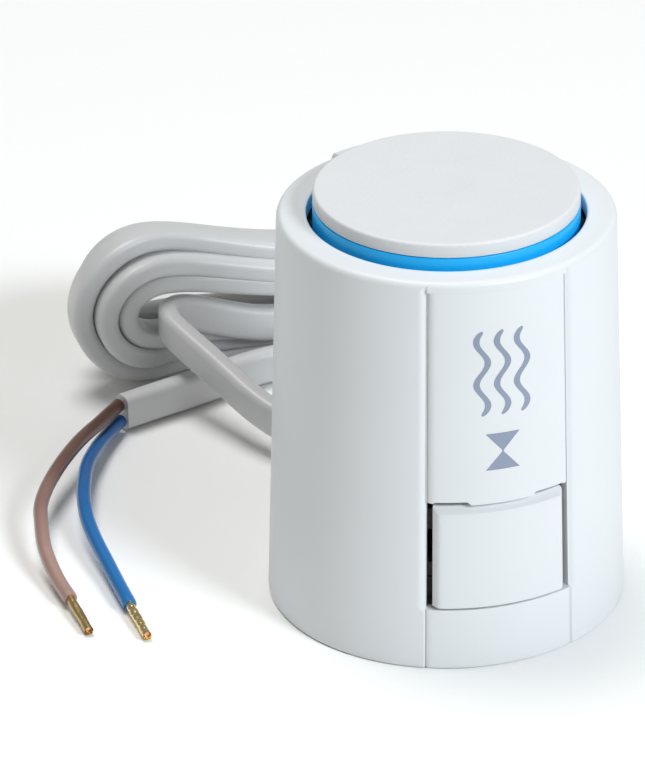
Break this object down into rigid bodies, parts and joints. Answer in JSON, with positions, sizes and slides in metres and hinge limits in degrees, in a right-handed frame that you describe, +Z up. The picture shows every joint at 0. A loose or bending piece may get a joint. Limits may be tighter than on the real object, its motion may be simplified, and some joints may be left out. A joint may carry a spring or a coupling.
{
  "type": "electrothermal valve actuator",
  "caption": "Conical electrothermal valve actuator with a rising indicator cap, a front release button, a clip-on socket below and a coiled flat two-core cable.",
  "frame": {"origin": "centre of the housing's bottom edge, on the plane the part stands on", "axes": "+Z up along the housing axis, -Y out through the front panel and button, +Y out along the cable gland"},
  "size_m": [0.0915, 0.1032, 0.0586],
  "materials": {
    "white_plastic": "fine satin moulded plastic",
    "cap_plastic": "matt moulded plastic",
    "blue_plastic": "bright moulded plastic",
    "frame_plastic": "glass-filled moulded plastic",
    "gland_plastic": "matt moulded plastic",
    "terminal_plastic": "moulded plastic",
    "rubber": "moulded",
    "spring_steel": "drawn wire and stamped steel",
    "brass": "turned",
    "copper_alloy": "stamped",
    "heater_ceramic": "sintered ceramic disc",
    "cable_sheath": "satin cable sheath",
    "brown_insulation": "core insulation",
    "blue_insulation": "core insulation",
    "gold_tin": "crimped ferrule"
  },
  "bodies": {
    "body": {"housing": "white_plastic", "front_panel": "white_plastic", "rear_panel": "white_plastic", "base_ring": "frame_plastic", "base_seal": "rubber", "top_seal": "rubber", "bridge": "frame_plastic", "piston": "spring_steel", "spring_seat": "spring_steel", "main_spring": "spring_steel", "latch_spring_left": "spring_steel", "latch_spring_right": "spring_steel", "cable_gland": "gland_plastic", "cable_clamp": "frame_plastic", "inner_lead_brown": "brown_insulation", "inner_lead_blue": "blue_insulation", "terminal_block": "terminal_plastic", "terminal_clip_brown": "copper_alloy", "terminal_clip_blue": "copper_alloy", "cable_lead": "cable_sheath", "cable_hank": "cable_sheath", "cable_tail": "cable_sheath", "brown_core": "brown_insulation", "blue_core": "blue_insulation", "brown_ferrule": "gold_tin", "blue_ferrule": "gold_tin"},
    "indicator": {"indicator_cap": "cap_plastic", "indicator_ring": "blue_plastic", "carrier": "frame_plastic", "wax_element": "brass", "contact_lower": "copper_alloy", "ptc_heater": "heater_ceramic", "contact_upper": "copper_alloy", "insulator_disc": "cap_plastic", "plunger": "frame_plastic"},
    "latch": {"release_button": "white_plastic", "latch_ring": "frame_plastic"}
  },
  "joints": [
    {"name": "indicator_slide", "type": "slide", "parent": "body", "child": "indicator", "axis": [0, 0, 1], "range_m": [-0.0035, 0], "deforming": ["main_spring"]},
    {"name": "latch_slide", "type": "slide", "parent": "body", "child": "latch", "axis": [0, 1, 0], "range_m": [0, 0.0022], "stiffness_N_per_m": 400, "deforming": ["latch_spring_left", "latch_spring_right"]}
  ]
}
